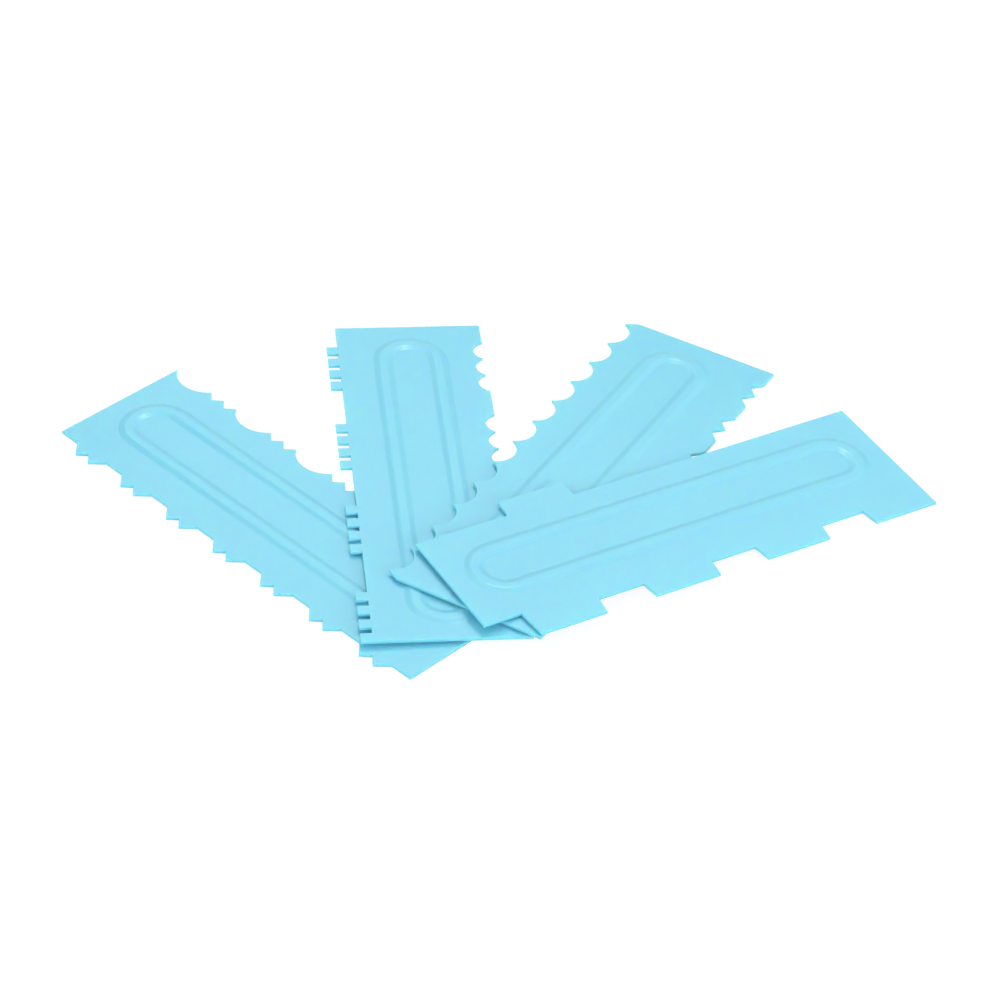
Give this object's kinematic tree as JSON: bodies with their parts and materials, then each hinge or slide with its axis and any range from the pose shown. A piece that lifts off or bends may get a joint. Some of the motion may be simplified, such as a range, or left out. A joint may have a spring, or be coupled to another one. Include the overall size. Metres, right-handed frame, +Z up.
{
  "type": "icing comb set",
  "caption": "Set of thin moulded plastic icing combs, fanned out and overlapping, each with a raised oval bead and a toothed, scalloped or notched pattern along both long edges.",
  "frame": {"origin": "middle of the fan's box in plan, at the level of the surface that it lies on", "axes": "+Z up from the surface, +X across the fan from the double tooth comb to the step comb, +Y towards the combs' far ends"},
  "size_m": [0.4012, 0.2626, 0.0092],
  "materials": {
    "comb_plastic": "smooth satin pale aqua, slightly translucent"
  },
  "bodies": {
    "double_tooth_comb": {"double_tooth_comb": "comb_plastic"},
    "square_tooth_comb": {"square_tooth_comb": "comb_plastic"},
    "scallop_comb": {"scallop_comb": "comb_plastic"},
    "step_comb": {"step_comb": "comb_plastic"}
  },
  "joints": [
    {"name": "square_tooth_comb_lift", "type": "slide", "parent": "double_tooth_comb", "child": "square_tooth_comb", "axis": [0, 0, 1], "range_m": [0, 0.06]},
    {"name": "scallop_comb_lift", "type": "slide", "parent": "square_tooth_comb", "child": "scallop_comb", "axis": [0, 0, 1], "range_m": [0, 0.06]},
    {"name": "step_comb_lift", "type": "slide", "parent": "scallop_comb", "child": "step_comb", "axis": [0, 0, 1], "range_m": [0, 0.06]}
  ]
}
